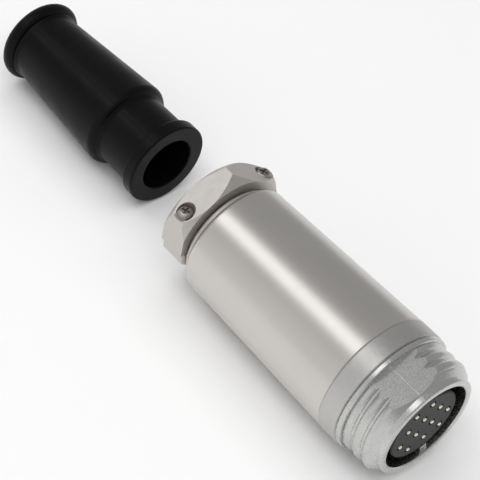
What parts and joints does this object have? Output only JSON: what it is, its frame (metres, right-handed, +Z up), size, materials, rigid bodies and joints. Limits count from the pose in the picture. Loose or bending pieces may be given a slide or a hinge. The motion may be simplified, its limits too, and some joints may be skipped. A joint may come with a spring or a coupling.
{
  "type": "circular cable connector",
  "caption": "In-line circular cable receptacle with external coupling thread, recessed pin contacts, tapered metal barrel, screwed saddle clamp and a rubber cable boot drawn off behind it.",
  "frame": {"origin": "on the connector's axis in the middle of the rim, 1.1 mm behind the mating face", "axes": "+X along the axis out of the mating face, +Z up through the ridge of the clamp with the clamp screws upright, +Y to the left seen from behind the cable end"},
  "size_m": [0.1578, 0.0346, 0.0354],
  "materials": {
    "shell_metal": "as-cast with a thin nickel plate, glossy, slightly uneven",
    "ring_metal": "bead-blasted cast metal, matt nickel plate",
    "barrel_metal": "satin nickel plate over a turned body",
    "clamp_metal": "cast, satin nickel plate",
    "screw_steel": "plated steel screw",
    "ring_steel": "spring steel",
    "insert_plastic": "dark grey moulded thermoset",
    "contact_metal": "thin bright plate over copper alloy",
    "seal_rubber": "moulded rubber",
    "gasket_rubber": "moulded rubber",
    "boot_rubber": "satin moulded rubber"
  },
  "bodies": {
    "connector": {"front_shell": "shell_metal", "adapter_ring": "ring_metal", "barrel": "barrel_metal", "barrel_seal": "seal_rubber", "face_gasket": "gasket_rubber", "insert_front": "insert_plastic", "insert_middle": "insert_plastic", "insert_rear": "insert_plastic", "insert_ring": "ring_steel", "end_bell": "clamp_metal", "contact_01": "contact_metal", "contact_02": "contact_metal", "contact_03": "contact_metal", "contact_04": "contact_metal", "contact_05": "contact_metal", "contact_06": "contact_metal", "contact_07": "contact_metal", "contact_08": "contact_metal", "contact_09": "contact_metal", "contact_10": "contact_metal", "contact_11": "contact_metal", "contact_12": "contact_metal"},
    "saddle": {"clamp_saddle": "clamp_metal", "clamp_screw_left": "screw_steel", "clamp_screw_right": "screw_steel"},
    "boot": {"boot": "boot_rubber"}
  },
  "joints": [
    {"name": "boot_slide", "type": "slide", "parent": "connector", "child": "boot", "axis": [1, 0, 0], "range_m": [-0.02, 0.0218]},
    {"name": "saddle_lift", "type": "slide", "parent": "connector", "child": "saddle", "axis": [0, 0, 1], "range_m": [0, 0.02]}
  ]
}
